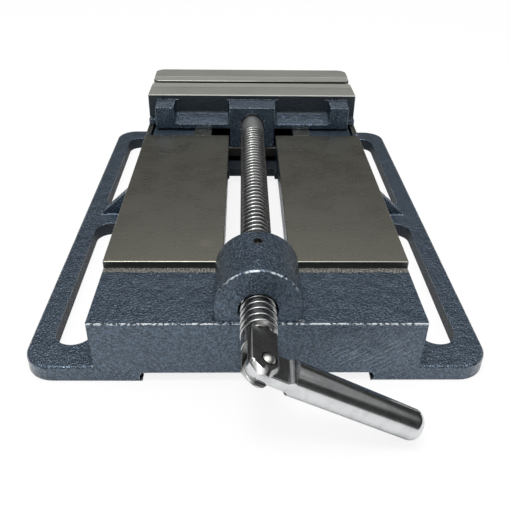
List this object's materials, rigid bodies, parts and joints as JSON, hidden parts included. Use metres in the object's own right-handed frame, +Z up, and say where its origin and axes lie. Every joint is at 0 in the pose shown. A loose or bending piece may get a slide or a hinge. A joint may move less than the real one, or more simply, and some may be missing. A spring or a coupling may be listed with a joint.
{
  "type": "drill press vise",
  "caption": "Low drill press vise: flanged slotted base, ground ways, fixed jaw, sliding jaw on a threaded spindle with a swinging bar handle.",
  "frame": {"origin": "on the bench face, at the centre of the rectangle of the four bench slots", "axes": "+X along the ways from the handle to the fixed jaw, +Y across the vise to the left seen from the handle, +Z up from the bench"},
  "size_m": [0.3325, 0.2166, 0.0603],
  "materials": {
    "enamel": "slate blue-grey hammertone enamel on iron castings, ways and jaw tops ground bare",
    "ground_steel": "surface ground",
    "spindle_steel": "turned bright steel, rolled thread",
    "handle_steel": "polished",
    "nut_iron": "machined",
    "pin_steel": "bright",
    "black_steel": "black oxide"
  },
  "bodies": {
    "fixed_frame": {"base_casting": "enamel", "fixed_jaw_plate": "ground_steel", "fixed_jaw_screws": "black_steel", "screw_nut": "nut_iron", "nut_lock_pin": "pin_steel"},
    "sliding_jaw": {"movable_jaw": "enamel", "movable_jaw_plate": "ground_steel", "movable_jaw_screws": "black_steel", "keeper_plate": "ground_steel", "keeper_screws": "black_steel", "keeper_washers": "pin_steel", "spindle_pins": "pin_steel", "thrust_disc": "pin_steel"},
    "screw": {"spindle": "spindle_steel", "handle_pin": "pin_steel"},
    "handle_bar": {"handle": "handle_steel"}
  },
  "joints": [
    {"name": "jaw_slide", "type": "slide", "parent": "fixed_frame", "child": "sliding_jaw", "axis": [-1, 0, 0], "range_m": [-0.0051, 0.1462]},
    {"name": "screw_turn", "type": "hinge", "parent": "sliding_jaw", "child": "screw", "pos_m": [-0.13975, 0, 0.0394], "axis": [1, 0, 0], "range_deg": [-13140, 450]},
    {"name": "handle_pivot", "type": "hinge", "parent": "screw", "child": "handle_bar", "pos_m": [-0.17365, -0.00153, 0.03866], "axis": [0, -0.4384, 0.8988], "range_deg": [-183, 10]}
  ],
  "couplings": [
    {"joint": "jaw_slide", "follows": "screw_turn", "m_per_rad": -0.00063662}
  ]
}
